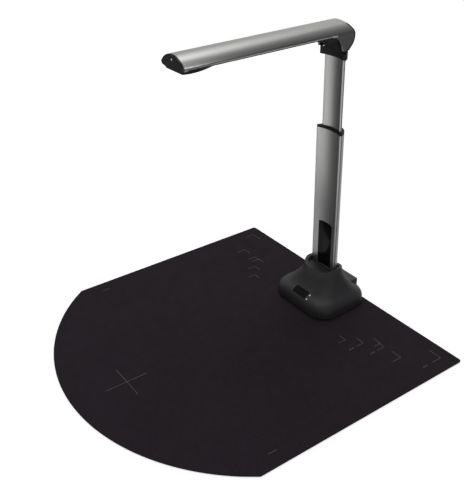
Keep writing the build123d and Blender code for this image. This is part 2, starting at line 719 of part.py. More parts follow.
# --- Column: sliding stage --------------------------------------------------------------------

with BuildPart() as inner_tube:
    with BuildSketch(Plane.XY.offset(INNER_BOTTOM)):
        add(inner_outline)
        add(inner_bore, mode=Mode.SUBTRACT)
    extrude(amount=INNER_TOP - INNER_BOTTOM)
save(inner_tube, "inner_tube")


def friction_pockets(margin):
    """Two blocks just inside the outer tube's hollow front, grown by margin."""
    with BuildSketch() as outline:
        add(grown(outer_bore, -SLIDE_GAP))
        with Locations(
            *[(side * PAD_X, OUTER_FRONT_Y + OUTER_HOLLOW + PAD_SIZE[1] - 1) for side in (-1, 1)]
        ):
            Rectangle(PAD_SIZE[0] + 2 * margin, PAD_SIZE[1] + 2 * margin, mode=Mode.INTERSECT)
    return outline.sketch


with BuildPart() as friction_pads:
    with BuildSketch(Plane.XY.offset(SHOE_BOTTOM + 2)):
        add(friction_pockets(0))
    extrude(amount=PAD_SIZE[2])
save(friction_pads, "friction_pads")

with BuildPart() as slide_shoe:
    with BuildSketch(Plane.XY.offset(SHOE_BOTTOM)):
        add(grown(outer_bore, -SLIDE_GAP))
    extrude(amount=SHOE_TOP - SHOE_BOTTOM)
    with BuildSketch(Plane.XY.offset(INNER_BOTTOM)):
        add(grown(inner_outline, FIT_CLEARANCE))
        add(grown(inner_bore, -PART_GAP), mode=Mode.SUBTRACT)
    extrude(amount=SHOE_TOP - INNER_BOTTOM, mode=Mode.SUBTRACT)
    with BuildSketch(Plane.XY.offset(SHOE_BOTTOM)):
        with Locations((0, CABLE_SLOT_Y)):
            SlotOverall(*CABLE_SLOT)
    extrude(amount=SHOE_TOP - SHOE_BOTTOM, mode=Mode.SUBTRACT)
    with BuildSketch(Plane.XY.offset(SHOE_BOTTOM + 2)):
        add(friction_pockets(FIT_CLEARANCE))
    extrude(amount=PAD_SIZE[2] + FIT_CLEARANCE, mode=Mode.SUBTRACT)
save(slide_shoe, "slide_shoe")

head_outline = crescent(HEAD_HALF_WIDTH, OUTER_FRONT_Y, HEAD_BACK_Y, OUTER_HOLLOW, CORNER_R)

with BuildPart() as column_head:
    with BuildSketch(Plane.XY.offset(INNER_TOP)):
        add(head_outline)
    extrude(amount=HEAD_TOP - INNER_TOP)
    chamfer(column_head.faces().sort_by(Axis.Z)[-1].edges(), 0.5)
    with BuildSketch(Plane.XY.offset(INNER_TOP)):
        add(grown(inner_bore, -PART_GAP))
    extrude(amount=-HEAD_SPIGOT)
    with BuildSketch(Plane.XY.offset(INNER_TOP - HEAD_SPIGOT)):
        with Locations((0, CABLE_SLOT_Y)):
            SlotOverall(*CABLE_SLOT)
    extrude(amount=HEAD_TOP - INNER_TOP + HEAD_SPIGOT, mode=Mode.SUBTRACT)
    with BuildSketch(Plane.XY.offset(HEAD_TOP)):
        add(rings(HEAD_SCREW_PLACES, HEAD_SCREW_R + PART_GAP))
    extrude(amount=-7, mode=Mode.SUBTRACT)
save(column_head, "column_head")

with BuildPart() as head_screws:
    with BuildSketch(Plane.XY.offset(HEAD_TOP + FLANGE_THICKNESS)):
        add(rings(HEAD_SCREW_PLACES, HEAD_SCREW_HEAD[0]))
    extrude(amount=HEAD_SCREW_HEAD[1])
    with BuildSketch(Plane.XY.offset(HEAD_TOP + FLANGE_THICKNESS)):
        add(rings(HEAD_SCREW_PLACES, HEAD_SCREW_R))
    extrude(amount=-HEAD_SCREW_LENGTH)
    # Hexagon recess in each head
    with BuildSketch(Plane.XY.offset(HEAD_TOP + FLANGE_THICKNESS + HEAD_SCREW_HEAD[1])):
        with Locations(*HEAD_SCREW_PLACES):
            RegularPolygon(1.1, 6)
    extrude(amount=-0.9, mode=Mode.SUBTRACT)
save(head_screws, "head_screws")

# --- Hinge ------------------------------------------------------------------------------------

with BuildPart() as hinge_block:
    # Pedestal with a screw flange behind it
    with BuildSketch(Plane.XY.offset(HEAD_TOP)):
        with Locations((0, PEDESTAL_Y[0])):
            Rectangle(2 * PEDESTAL_HALF_WIDTH, PEDESTAL_LENGTH, align=(Align.CENTER, Align.MIN))
    extrude(amount=HINGE_Z - 2 - HEAD_TOP)
    with BuildSketch(Plane.XY.offset(HEAD_TOP)):
        with Locations((0, FLANGE_REAR_Y)):
            Rectangle(
                2 * PEDESTAL_HALF_WIDTH - 3,
                FLANGE_REAR_Y - PEDESTAL_Y[0],
                align=(Align.CENTER, Align.MAX),
            )
        add(rings(HEAD_SCREW_PLACES, HEAD_SCREW_R + PART_GAP), mode=Mode.SUBTRACT)
    extrude(amount=FLANGE_THICKNESS)
    # Lower half of the barrel, at full length
    with BuildSketch(Plane.YZ):
        add(hinge_disc(BARREL_R))
        with Locations((HINGE_Y - 6.5, HINGE_Z - 2)):
            Rectangle(40, 40, align=(Align.MIN, Align.MAX), mode=Mode.INTERSECT)
    extrude(amount=BARREL_HALF_LENGTH - 0.6, both=True)
    # Upper half, which tapers towards its ends under the arm's arched top
    with BuildSketch(Plane.XY.offset(HINGE_Z)) as barrel_half:
        with BuildLine():
            crown_r = ARM_CROWN_R - ARM_WALL - BARREL_GAP
            crown_drop = HINGE_Z - (ARM_TOP - ARM_CROWN_R)
            end_r = (crown_r**2 - BARREL_HALF_LENGTH**2) ** 0.5 - crown_drop
            ThreePointArc(
                (-BARREL_HALF_LENGTH, HINGE_Y + end_r),
                (0, HINGE_Y + crown_r - crown_drop),
                (BARREL_HALF_LENGTH, HINGE_Y + end_r),
            )
            Polyline(
                (BARREL_HALF_LENGTH, HINGE_Y + end_r),
                (BARREL_HALF_LENGTH, HINGE_Y),
                (-BARREL_HALF_LENGTH, HINGE_Y),
                (-BARREL_HALF_LENGTH, HINGE_Y + end_r),
            )
        make_face()
    revolve(axis=Axis((0, HINGE_Y, HINGE_Z), (1, 0, 0)))
    # Bores for the bush and for the pin beyond it
    with BuildSketch(Plane.YZ):
        add(hinge_disc(HINGE_BUSH_R))
    extrude(amount=HINGE_BUSH_HALF_LENGTH, both=True, mode=Mode.SUBTRACT)
    with BuildSketch(Plane.YZ):
        add(hinge_disc(PIN_R + 0.3))
    extrude(amount=30, both=True, mode=Mode.SUBTRACT)
save(hinge_block, "hinge_block")

with BuildPart() as hinge_bush:
    with BuildSketch(Plane.YZ):
        add(rings([(HINGE_Y, HINGE_Z)], HINGE_BUSH_R, PIN_R + FIT_CLEARANCE))
    extrude(amount=HINGE_BUSH_HALF_LENGTH, both=True)
save(hinge_bush, "hinge_bush")

with BuildPart() as friction_washers:
    for side in (-1, 1):
        with BuildSketch(Plane.YZ.offset(side * (BARREL_HALF_LENGTH + 0.05))):
            add(rings([(HINGE_Y, HINGE_Z)], 5.0, PIN_R + FIT_CLEARANCE))
        extrude(amount=side * WASHER_THICKNESS)
save(friction_washers, "friction_washers")

with BuildPart() as hinge_pin:
    with BuildSketch(Plane.YZ):
        add(hinge_disc(PIN_R))
    extrude(amount=PIN_HALF_LENGTH, both=True)
    chamfer(hinge_pin.edges(), 0.4)
save(hinge_pin, "hinge_pin")

with BuildPart() as pin_cover:
    with BuildSketch(Plane.YZ.offset(-ARM_HALF_WIDTH)):
        add(hinge_disc(PIN_COVER_R))
    extrude(amount=ARM_HALF_WIDTH - PIN_HALF_LENGTH - 0.02)
save(pin_cover, "pin_cover")

# --- Arm --------------------------------------------------------------------------------------

SHELL_END_Y = ARM_TIP_Y + END_CAP_THICKNESS

with BuildPart() as knuckle_body:
    with BuildSketch(Plane.YZ):
        add(knuckle_profile())
    extrude(amount=ARM_HALF_WIDTH, both=True)
    with BuildSketch(Plane.XZ) as knuckle_arch:
        add(arch(0, ARM_HALF_WIDTH, 370))
        fillet(knuckle_arch.vertices().group_by(Axis.Y)[-1], KNUCKLE_EDGE_R)
    extrude(amount=80, both=True, mode=Mode.INTERSECT)

with BuildPart() as arm_hollow:
    with BuildSketch(Plane.XZ.offset(-HINGE_Y)):
        add(arm_bore)
    extrude(amount=HINGE_Y - ARM_TIP_Y + 5)
    # Room in the knuckle for the hinge block
    with BuildSketch(Plane.YZ):
        add(hinge_disc(KNUCKLE_HOLLOW_R))
    extrude(amount=CHEEK_INNER_X, both=True)
    with BuildSketch(Plane.XZ):
        add(arch(ARM_WALL, ARM_HALF_WIDTH, 370))
    extrude(amount=300, both=True, mode=Mode.INTERSECT)

with BuildPart() as arm_shell:
    with BuildSketch(Plane.XZ.offset(-HINGE_Y)):
        add(arm_outline)
    extrude(amount=HINGE_Y - SHELL_END_Y)
    add(knuckle_body.part)
    add(arm_hollow.part, mode=Mode.SUBTRACT)
    # Screw ribs under the arched top
    with BuildSketch(Plane.XZ.offset(-TRAY_REAR_Y)):
        add(arch(ARM_WALL / 2, RIB_X + RIB_WIDTH / 2, RIB_BOTTOM))
        with Locations((0, RIB_BOTTOM)):
            Rectangle(2 * RIB_X - RIB_WIDTH, 40, mode=Mode.SUBTRACT)
    extrude(amount=TRAY_REAR_Y - SHELL_END_Y - END_CAP_PLUG - 1)
    # Opening for the tray
    with BuildSketch(Plane.XZ.offset(-TRAY_REAR_Y - PART_GAP)):
        with Locations((0, TRAY_TOP + PART_GAP)):
            Rectangle(2 * (TRAY_HALF_WIDTH + PART_GAP), 12, align=(Align.CENTER, Align.MAX))
    extrude(amount=300, mode=Mode.SUBTRACT)
    with BuildSketch(Plane.XZ.offset(-TRAY_REAR_Y - PART_GAP)):
        add(tray_room(PART_GAP))
    extrude(amount=TRAY_REAR_Y + PART_GAP - SHELL_END_Y - END_CAP_PLUG, mode=Mode.SUBTRACT)
    # Opening behind the tray, for the hinge block to swing in
    with BuildSketch(Plane.XZ.offset(-HINGE_Y)):
        with Locations((0, TRAY_TOP + PART_GAP)):
            Rectangle(2 * CHEEK_INNER_X, 40, align=(Align.CENTER, Align.MAX))
    extrude(amount=HINGE_Y - TRAY_REAR_Y + PART_GAP, mode=Mode.SUBTRACT)
    # Seat of the rear cap
    with BuildSketch(Plane.YZ):
        add(heel_ring(-88, 45))
    extrude(amount=ARM_HALF_WIDTH + 1, both=True, mode=Mode.SUBTRACT)
    # Pin holes: blind on the right, through on the left
    with BuildSketch(Plane.YZ):
        add(hinge_disc(PIN_R + 0.02))
    extrude(amount=PIN_HALF_LENGTH, both=True, mode=Mode.SUBTRACT)
    with BuildSketch(Plane.YZ.offset(-PIN_HALF_LENGTH)):
        add(hinge_disc(PIN_COVER_R + 0.05))
    extrude(amount=-5, mode=Mode.SUBTRACT)
    # Tray screw holes in the ribs
    with BuildSketch(Plane.XY.offset(RIB_BOTTOM)):
        add(rings(TRAY_SCREW_PLACES, TRAY_SCREW_R + FIT_CLEARANCE))
    extrude(amount=3.6, mode=Mode.SUBTRACT)
save(arm_shell, "arm_shell")

with BuildPart() as arm_rear_cap:
    add(knuckle_body.part)
    with BuildSketch(Plane.YZ):
        add(heel_ring(-87.6, 44.7))
    extrude(amount=ARM_HALF_WIDTH + 1, both=True, mode=Mode.INTERSECT)
    with BuildSketch(Plane.YZ):
        add(heel_ring(-95, -30))
    extrude(amount=KNUCKLE_SLOT_HALF_WIDTH, both=True, mode=Mode.SUBTRACT)
save(arm_rear_cap, "arm_rear_cap")

with BuildPart() as arm_tray:
    with BuildSketch(Plane.XZ.offset(-TRAY_REAR_Y)):
        add(arm_outline)
        add(arm_bore, mode=Mode.SUBTRACT)
        add(tray_room(0), mode=Mode.INTERSECT)
    extrude(amount=TRAY_REAR_Y - SHELL_END_Y - END_CAP_PLUG - PART_GAP)
    # Slot for the camera pod, window for the lamps, and screw holes with recesses
    with BuildSketch(Plane.XY.offset(ARM_UNDERSIDE - 2)):
        with Locations((0, POD_REAR_Y + PART_GAP)):
            Rectangle(2 * (POD_HALF_WIDTH + PART_GAP), 80, align=(Align.CENTER, Align.MAX))
        with Locations((0, LAMP_Y[0])):
            Rectangle(
                2 * (LAMP_HALF_WIDTH + PART_GAP),
                LAMP_Y[1] - LAMP_Y[0] + PART_GAP,
                align=(Align.CENTER, Align.MIN),
            )
        add(rings(TRAY_SCREW_PLACES, TRAY_SCREW_R + 0.2))
    extrude(amount=10, mode=Mode.SUBTRACT)
    with BuildSketch(Plane.XY.offset(ARM_UNDERSIDE + TRAY_SCREW_SEAT)):
        add(rings(TRAY_SCREW_PLACES, TRAY_SCREW_HEAD[0] + PART_GAP))
    extrude(amount=-5, mode=Mode.SUBTRACT)
save(arm_tray, "arm_tray")

with BuildPart() as tray_screws:
    with BuildSketch(Plane.XY.offset(ARM_UNDERSIDE + TRAY_SCREW_SEAT)):
        add(rings(TRAY_SCREW_PLACES, TRAY_SCREW_HEAD[0]))
    extrude(amount=-TRAY_SCREW_HEAD[1])
    with BuildSketch(Plane.XY.offset(ARM_UNDERSIDE + TRAY_SCREW_SEAT)):
        add(rings(TRAY_SCREW_PLACES, TRAY_SCREW_R))
    extrude(amount=4.6)
save(tray_screws, "tray_screws")

with BuildPart() as arm_end_cap:
    with BuildSketch(Plane.XZ.offset(-SHELL_END_Y)):
        add(arm_outline)
    extrude(amount=END_CAP_THICKNESS)
    fillet(arm_end_cap.faces().sort_by(Axis.Y)[0].edges(), 0.8)
    with BuildSketch(Plane.XZ.offset(-SHELL_END_Y)):
        add(lens(ARM_WALL + PART_GAP))
        with Locations((0, POD_TOP + PART_GAP)):
            Rectangle(60, 20, align=(Align.CENTER, Align.MAX), mode=Mode.SUBTRACT)
    extrude(amount=-END_CAP_PLUG)
    with BuildSketch(Plane.XZ.offset(-ARM_TIP_Y)):
        with Locations((0, TIP_INDICATOR_Z)):
            Circle(TIP_INDICATOR_R + FIT_CLEARANCE)
    extrude(amount=-END_CAP_THICKNESS - END_CAP_PLUG, mode=Mode.SUBTRACT)
save(arm_end_cap, "arm_end_cap")

with BuildPart() as tip_indicator:
    with BuildSketch(Plane.XZ.offset(-ARM_TIP_Y)):
        with Locations((0, TIP_INDICATOR_Z)):
            Circle(TIP_INDICATOR_R)
    extrude(amount=-END_CAP_THICKNESS - END_CAP_PLUG)
save(tip_indicator, "tip_indicator")

# --- Camera and lamps -------------------------------------------------------------------------

with BuildPart() as camera_pod:
    with BuildSketch(Plane.YZ):
        with BuildLine():
            Polyline(
                (POD_FRONT_Y, POD_BOTTOM + POD_NOSE),
                (POD_FRONT_Y, POD_TOP),
                (POD_REAR_Y, POD_TOP),
                (POD_REAR_Y, ARM_UNDERSIDE + 1.6),
            )
            ThreePointArc(
                (POD_REAR_Y, ARM_UNDERSIDE + 1.6),
                (LENS_Y + 10, POD_BOTTOM + 0.2),
                (POD_FRONT_Y, POD_BOTTOM + POD_NOSE),
            )
        make_face()
    extrude(amount=POD_HALF_WIDTH, both=True)
    fillet(camera_pod.edges().filter_by(Axis.Z).group_by(Axis.Y)[-1], 3)
    # Lens hole
    with BuildSketch(Plane.XY.offset(POD_TOP)):
        with Locations((0, LENS_Y)):
            Circle(LENS_R + FIT_CLEARANCE)
    extrude(amount=-8, mode=Mode.SUBTRACT)
save(camera_pod, "camera_pod")

with BuildPart() as lens_glass:
    with BuildSketch(Plane.XY.offset(POD_BOTTOM + 0.8)):
        with Locations((0, LENS_Y)):
            Circle(LENS_R)
    extrude(amount=1.2)
save(lens_glass, "lens_glass")

with BuildPart() as lens_barrel:
    with BuildSketch(Plane.XY.offset(POD_BOTTOM + 2.0)):
        with Locations((0, LENS_Y)):
            Circle(LENS_R)
            Circle(LENS_R - 1.5, mode=Mode.SUBTRACT)
    extrude(amount=2.0)
    with BuildSketch(Plane.XY.offset(POD_BOTTOM + 4.0)):
        with Locations((0, LENS_Y)):
            Circle(LENS_R)
            Circle(LENS_R - 3.0, mode=Mode.SUBTRACT)
    extrude(amount=LENS_BARREL_TOP - POD_BOTTOM - 4.0)
save(lens_barrel, "lens_barrel")

with BuildPart() as image_sensor:
    with BuildSketch(Plane.XY.offset(LENS_BARREL_TOP)):
        with Locations((0, LENS_Y)):
            Rectangle(11, 9)
    extrude(amount=1.5)
save(image_sensor, "image_sensor")

with BuildPart() as camera_board:
    with BuildSketch(Plane.XY.offset(CAMERA_BOARD_BOTTOM)):
        with Locations((0, CAMERA_BOARD_Y[0])):
            Rectangle(
                2 * CAMERA_BOARD_HALF_WIDTH,
                CAMERA_BOARD_Y[1] - CAMERA_BOARD_Y[0],
                align=(Align.CENTER, Align.MIN),
            )
    extrude(amount=BOARD_THICKNESS)
    with BuildSketch(Plane.XY.offset(CAMERA_BOARD_BOTTOM)):
        with Locations((-5, -219), (6, -218)):
            Rectangle(6, 6)
    extrude(amount=-1.0)
save(camera_board, "camera_board")

with BuildPart() as lamp_board:
    with BuildSketch(Plane.XY.offset(LAMP_BOARD_BOTTOM)):
        with Locations((0, LAMP_Y[0])):
            Rectangle(
                2 * LAMP_HALF_WIDTH, LAMP_Y[1] - LAMP_Y[0], align=(Align.CENTER, Align.MIN)
            )
    extrude(amount=BOARD_THICKNESS)
save(lamp_board, "lamp_board")

with BuildPart() as lamps:
    with BuildSketch(Plane.XY.offset(LAMP_BOARD_BOTTOM)):
        with Locations((0, LAMP_CENTRE_Y)):
            with GridLocations(14, 11, 2, 3):
                Rectangle(3.0, 3.0)
    extrude(amount=-0.8)
save(lamps, "lamps")

with BuildPart() as lamp_diffuser:
    with BuildSketch(Plane.XZ.offset(-LAMP_Y[1])):
        add(arm_outline)
        add(arm_bore, mode=Mode.SUBTRACT)
        with Locations((0, TRAY_TOP)):
            Rectangle(
                2 * LAMP_HALF_WIDTH, 12, align=(Align.CENTER, Align.MAX), mode=Mode.INTERSECT
            )
    extrude(amount=LAMP_Y[1] - LAMP_Y[0])
    # Four legs that stand off the lamp board
    with BuildSketch(Plane.XY.offset(ARM_UNDERSIDE + 1.2)):
        with Locations((0, LAMP_CENTRE_Y)):
            with GridLocations(20, 30, 2, 2):
                Rectangle(2, 2)
    extrude(amount=LAMP_BOARD_BOTTOM - ARM_UNDERSIDE - 1.2)
save(lamp_diffuser, "lamp_diffuser")

with BuildPart() as arm_ribbon:
    with BuildSketch(Plane.XY.offset(LAMP_BOARD_BOTTOM + BOARD_THICKNESS)):
        with Locations((0, CAMERA_BOARD_Y[1] - 5)):
            Rectangle(10, 9 - CAMERA_BOARD_Y[1] + LAMP_Y[0], align=(Align.CENTER, Align.MIN))
    extrude(amount=0.25)
save(arm_ribbon, "arm_ribbon")
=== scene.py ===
import json
import math

import bmesh
import bpy
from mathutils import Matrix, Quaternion, Vector, noise


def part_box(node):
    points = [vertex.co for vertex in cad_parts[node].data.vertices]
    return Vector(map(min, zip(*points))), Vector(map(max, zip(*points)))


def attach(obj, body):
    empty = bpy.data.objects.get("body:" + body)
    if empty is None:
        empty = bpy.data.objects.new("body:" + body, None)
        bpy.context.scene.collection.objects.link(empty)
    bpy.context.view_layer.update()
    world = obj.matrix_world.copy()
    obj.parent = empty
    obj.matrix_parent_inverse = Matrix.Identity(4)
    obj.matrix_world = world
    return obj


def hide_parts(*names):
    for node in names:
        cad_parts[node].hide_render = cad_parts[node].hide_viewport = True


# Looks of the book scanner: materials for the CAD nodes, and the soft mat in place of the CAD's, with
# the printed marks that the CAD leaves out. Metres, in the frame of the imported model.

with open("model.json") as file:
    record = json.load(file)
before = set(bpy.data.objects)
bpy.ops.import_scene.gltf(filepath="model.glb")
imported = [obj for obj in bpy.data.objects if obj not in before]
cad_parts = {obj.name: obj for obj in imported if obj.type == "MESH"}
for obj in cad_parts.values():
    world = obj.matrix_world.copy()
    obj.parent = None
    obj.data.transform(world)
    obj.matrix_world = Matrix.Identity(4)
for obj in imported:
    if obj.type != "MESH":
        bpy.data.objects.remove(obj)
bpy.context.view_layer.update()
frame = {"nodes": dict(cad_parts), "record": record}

MM = 0.001
RIDGES_PER_WAVE = 3.2

# --- Material nodes ---------------------------------------------------------------------------


class Shade:
    """A Principled material with the few nodes that its patterns need, in object coordinates."""

    def __init__(self, name, **values):
        self.material = bpy.data.materials.new(name)
        self.material.use_nodes = True
        self.tree = self.material.node_tree
        self.shader = self.tree.nodes["Principled BSDF"]
        self.place = self.node("ShaderNodeTexCoord").outputs["Object"]
        for socket, value in values.items():
            self.shader.inputs[socket.replace("_", " ")].default_value = value

    def node(self, kind, **settings):
        made = self.tree.nodes.new(kind)
        for key, value in settings.items():
            setattr(made, key, value)
        return made

    def join(self, source, node, socket):
        self.tree.links.new(source, node.inputs[socket])

    def stretched(self, scale):
        """The object's coordinates, times scale along each axis."""
        made = self.node("ShaderNodeMapping")
        self.join(self.place, made, "Vector")
        made.inputs["Scale"].default_value = scale
        return made.outputs["Vector"]

    def noise(self, scale, detail=3.0, rough=0.55, stretch=(1, 1, 1)):
        """Noise from 0 to 1, with scale cells to the metre."""
        made = self.node("ShaderNodeTexNoise")
        self.join(self.stretched(stretch), made, "Vector")
        made.inputs["Scale"].default_value = scale
        made.inputs["Detail"].default_value = detail
        made.inputs["Roughness"].default_value = rough
        return made.outputs["Fac"]

    def cells(self, scale):
        """Distance to the nearest of scattered points, with scale points to the metre."""
        made = self.node("ShaderNodeTexVoronoi")
        self.join(self.place, made, "Vector")
        made.inputs["Scale"].default_value = scale
        return made.outputs["Distance"]

    def waves(self, scale, axis, distortion=0.0):
        """Ridges across an axis, with scale ridges to the metre."""
        made = self.node("ShaderNodeTexWave", bands_direction=axis)
        self.join(self.place, made, "Vector")
        made.inputs["Scale"].default_value = scale / RIDGES_PER_WAVE
        made.inputs["Distortion"].default_value = distortion
        return made.outputs["Fac"]

    def spread(self, source, low, high, start=0.3, end=0.7):
        """source, taken from start to end, as a value from low to high."""
        made = self.node("ShaderNodeMapRange")
        self.join(source, made, "Value")
        for socket, value in (("From Min", start), ("From Max", end), ("To Min", low), ("To Max", high)):
            made.inputs[socket].default_value = value
        return made.outputs["Result"]

    def blend(self, factor, first, second):
        """A colour from first to second by factor; either is a colour or another node's output."""
        made = self.node("ShaderNodeMix", data_type="RGBA")
        self.join(factor, made, "Factor")
        for socket, colour in ((made.inputs[6], first), (made.inputs[7], second)):
            if isinstance(colour, bpy.types.NodeSocket):
                self.tree.links.new(colour, socket)
            else:
                socket.default_value = (*colour, 1)
        return made.outputs[2]

    def colour(self, source):
        self.join(source, self.shader, "Base Color")
        return self

    def roughness(self, source):
        self.join(source, self.shader, "Roughness")
        return self

    def softened(self, radius):
        """The surface's normal with its sharp edges rounded off to radius."""
        made = self.node("ShaderNodeBevel", samples=4)
        made.inputs["Radius"].default_value = radius
        return made.outputs["Normal"]

    def edges(self, radius):
        """0 on flats and up to 1 along sharp edges, within radius of them; it masks the painted edge
        highlights.
        """
        flat = self.node("ShaderNodeNewGeometry").outputs["Normal"]
        made = self.node("ShaderNodeVectorMath", operation="DISTANCE")
        self.join(flat, made, 0)
        self.join(self.softened(radius), made, 1)
        return self.spread(made.outputs["Value"], 0.0, 1.0, 0.12, 0.6)

    def relief(self, *layers, edge=None):
        """Bumps one on another, each (height source, depth in metres), on edges rounded to edge."""
        normal = self.softened(edge) if edge else None
        for source, depth in layers:
            made = self.node("ShaderNodeBump")
            self.join(source, made, "Height")
            made.inputs["Distance"].default_value = depth
            if normal:
                self.join(normal, made, "Normal")
            normal = made.outputs["Normal"]
        self.join(normal, self.shader, "Normal")
        return self


# --- Materials --------------------------------------------------------------------------------


def mat_sheet_material():
    """Soft near-black sheet with a fine pebbled skin."""
    s = Shade("mat_sheet", Specular_IOR_Level=0.05)
    cloud = s.spread(s.noise(9, 4), 0, 1)
    speck = s.spread(s.noise(900, 2), 0, 1, 0.45, 0.72)
    ground = s.blend(cloud, (0.0235, 0.0176, 0.0235), (0.0275, 0.0208, 0.0275))
    s.colour(s.blend(speck, ground, (0.0365, 0.0290, 0.0365)))
    s.roughness(s.spread(s.noise(60, 3), 0.66, 0.80))
    return s.relief((s.noise(30, 2), 0.00015), (s.cells(1300), 0.00009), (s.noise(2600, 2), 0.00003))


def mat_print_material():
    """Light grey ink, worn a little thin in places."""
    s = Shade("mat_print", Specular_IOR_Level=0.25)
    wear = s.spread(s.noise(420, 4, 0.7), 0, 1, 0.35, 0.75)
    s.colour(s.blend(wear, (0.15, 0.15, 0.16), (0.06, 0.055, 0.062)))
    s.roughness(s.spread(s.noise(700), 0.5, 0.75))
    return s.relief((s.cells(1300), 0.00005))


def black_plastic_material(name, specular, tone):
    """Satin black moulding, as light as tone, with a fine texture, and a painted highlight that lightens
    the colour along its edges.
    """
    s = Shade(name, Specular_IOR_Level=specular)
    cloud = s.spread(s.noise(35, 3), 0, 1)
    ground = s.blend(cloud, (tone * 0.9, tone * 0.84, tone * 0.92), (tone * 1.1, tone * 1.03, tone * 1.12))
    # Painted highlight: the colour is made lighter along the edges.
    s.colour(s.blend(s.edges(0.0006), ground, (tone * 1.6, tone * 1.5, tone * 1.62)))
    s.roughness(s.spread(s.noise(240, 4), 0.42, 0.54))
    return s.relief((s.noise(1900, 2), 0.000028), (s.noise(5200, 2), 0.000012), edge=0.0005)


def gloss_black_material(name, specular, tone):
    """Polished black plastic with faint handling marks, as light as tone."""
    s = Shade(name, Specular_IOR_Level=specular, Coat_Weight=0.1, Coat_Roughness=0.08)
    light, dark = (tone * 1.2, tone * 1.16, tone * 1.22), (tone * 0.8, tone * 0.78, tone * 0.84)
    s.colour(s.blend(s.spread(s.noise(50), 0, 1), dark, light))
    smear = s.noise(70, 5, 0.65, (1, 1, 0.25))
    s.roughness(s.spread(smear, 0.10, 0.24))
    return s.relief((s.noise(160, 2), 0.00002), edge=0.0004)


def anodised_material(name, grain):
    """Clear anodised aluminium, brushed along the axis where grain is smallest, with a painted highlight
    that lightens the colour along its edges.
    """
    s = Shade(name, Metallic=1.0)
    fine = s.noise(1, 4, 0.6, grain)
    broad = s.noise(1, 2, 0.5, tuple(g * 0.18 for g in grain))
    ground = s.blend(s.spread(fine, 0, 1), (0.51, 0.51, 0.50), (0.60, 0.60, 0.59))
    toned = s.blend(s.spread(broad, 0, 0.35), ground, (0.47, 0.47, 0.465))
    # Painted highlight: the colour is made lighter along the edges.
    s.colour(s.blend(s.edges(0.0005), toned, (0.68, 0.68, 0.67)))
    s.roughness(s.spread(fine, 0.32, 0.42))
    return s.relief((fine, 0.000035), (s.noise(3500, 2), 0.000006), edge=0.0005)


def steel_material():
    """Plated steel with a drawn surface."""
    s = Shade("steel", Metallic=1.0)
    drawn = s.noise(1, 4, 0.6, (1400, 120, 1400))
    s.colour(s.blend(s.spread(drawn, 0, 1), (0.42, 0.42, 0.43), (0.56, 0.56, 0.57)))
    s.roughness(s.spread(s.noise(300, 4), 0.22, 0.38))
    return s.relief((drawn, 0.00002), edge=0.0003)


def iron_material():
    """Cast iron under thin grey paint."""
    s = Shade("iron", Metallic=0.3)
    rust = s.spread(s.noise(120, 5, 0.7), 0, 1, 0.58, 0.74)
    ground = s.blend(s.spread(s.noise(40), 0, 1), (0.055, 0.057, 0.060), (0.085, 0.086, 0.088))
    s.colour(s.blend(rust, ground, (0.075, 0.045, 0.030)))
    s.roughness(s.spread(s.noise(200, 4), 0.5, 0.72))
    return s.relief((s.noise(260, 5, 0.65), 0.00025), (s.noise(1500, 3), 0.00006), edge=0.0006)


def board_material():
    """Green circuit board with raised traces."""
    s = Shade("board", Coat_Weight=0.3, Coat_Roughness=0.2)
    across = s.waves(700, "X", 1.5)
    along = s.waves(500, "Y", 2.5)
    trace = s.spread(across, 0, 1, 0.62, 0.72)
    pad = s.spread(along, 0, 1, 0.86, 0.92)
    ground = s.blend(trace, (0.010, 0.075, 0.035), (0.022, 0.125, 0.060))
    s.colour(s.blend(pad, ground, (0.20, 0.17, 0.09)))
    s.roughness(s.spread(s.noise(500), 0.30, 0.45))
    return s.relief((across, 0.00003), (s.noise(1800), 0.00001))


def rubber_material():
    """Matt black rubber with a moulded grain."""
    s = Shade("foot_rubber", Specular_IOR_Level=0.3)
    s.colour(s.blend(s.spread(s.noise(180, 4), 0, 1), (0.012, 0.012, 0.012), (0.026, 0.025, 0.024)))
    s.roughness(s.spread(s.noise(350), 0.72, 0.9))
    return s.relief((s.cells(1500), 0.00008), (s.noise(900), 0.00005), edge=0.0004)


def acetal_material():
    """Natural acetal, off-white and slightly waxy, with turning marks."""
    s = Shade("acetal", Subsurface_Weight=0.1, Subsurface_Scale=0.002)
    s.colour(s.blend(s.spread(s.noise(90, 4), 0, 1), (0.60, 0.60, 0.57), (0.71, 0.70, 0.67)))
    s.roughness(s.spread(s.noise(400), 0.38, 0.52))
    return s.relief((s.waves(2400, "Z", 0.4), 0.00001), (s.noise(1200), 0.00002), edge=0.0004)


def brass_material():
    """Turned brass, with tool marks round its axis."""
    s = Shade("brass", Metallic=1.0)
    rings = s.waves(3200, "X", 0.6)
    s.colour(s.blend(s.spread(s.noise(160, 4), 0, 1), (0.55, 0.40, 0.15), (0.70, 0.54, 0.26)))
    s.roughness(s.spread(rings, 0.20, 0.36, 0, 1))
    return s.relief((rings, 0.00002), edge=0.0003)


def glass_material():
    """Coated cover glass over the lens."""
    s = Shade("glass", Transmission_Weight=0.94, IOR=1.5, Coat_Weight=0.6, Coat_Roughness=0.02)
    s.colour(s.blend(s.spread(s.noise(260, 3), 0, 1), (0.62, 0.66, 0.78), (0.74, 0.72, 0.84)))
    s.roughness(s.spread(s.noise(140, 4), 0.01, 0.04))
    return s.relief((s.noise(60, 1), 0.000004), edge=0.0003)


def lamp_white_material():
    """Opal diffuser with fine prisms across it."""
    s = Shade("lamp_white", Subsurface_Weight=0.35, Subsurface_Scale=0.003)
    s.colour(s.blend(s.spread(s.noise(200, 3), 0, 1), (0.78, 0.78, 0.74), (0.86, 0.86, 0.82)))
    s.roughness(s.spread(s.noise(600), 0.34, 0.5))
    return s.relief((s.waves(1000, "Y"), 0.00012), edge=0.0004)


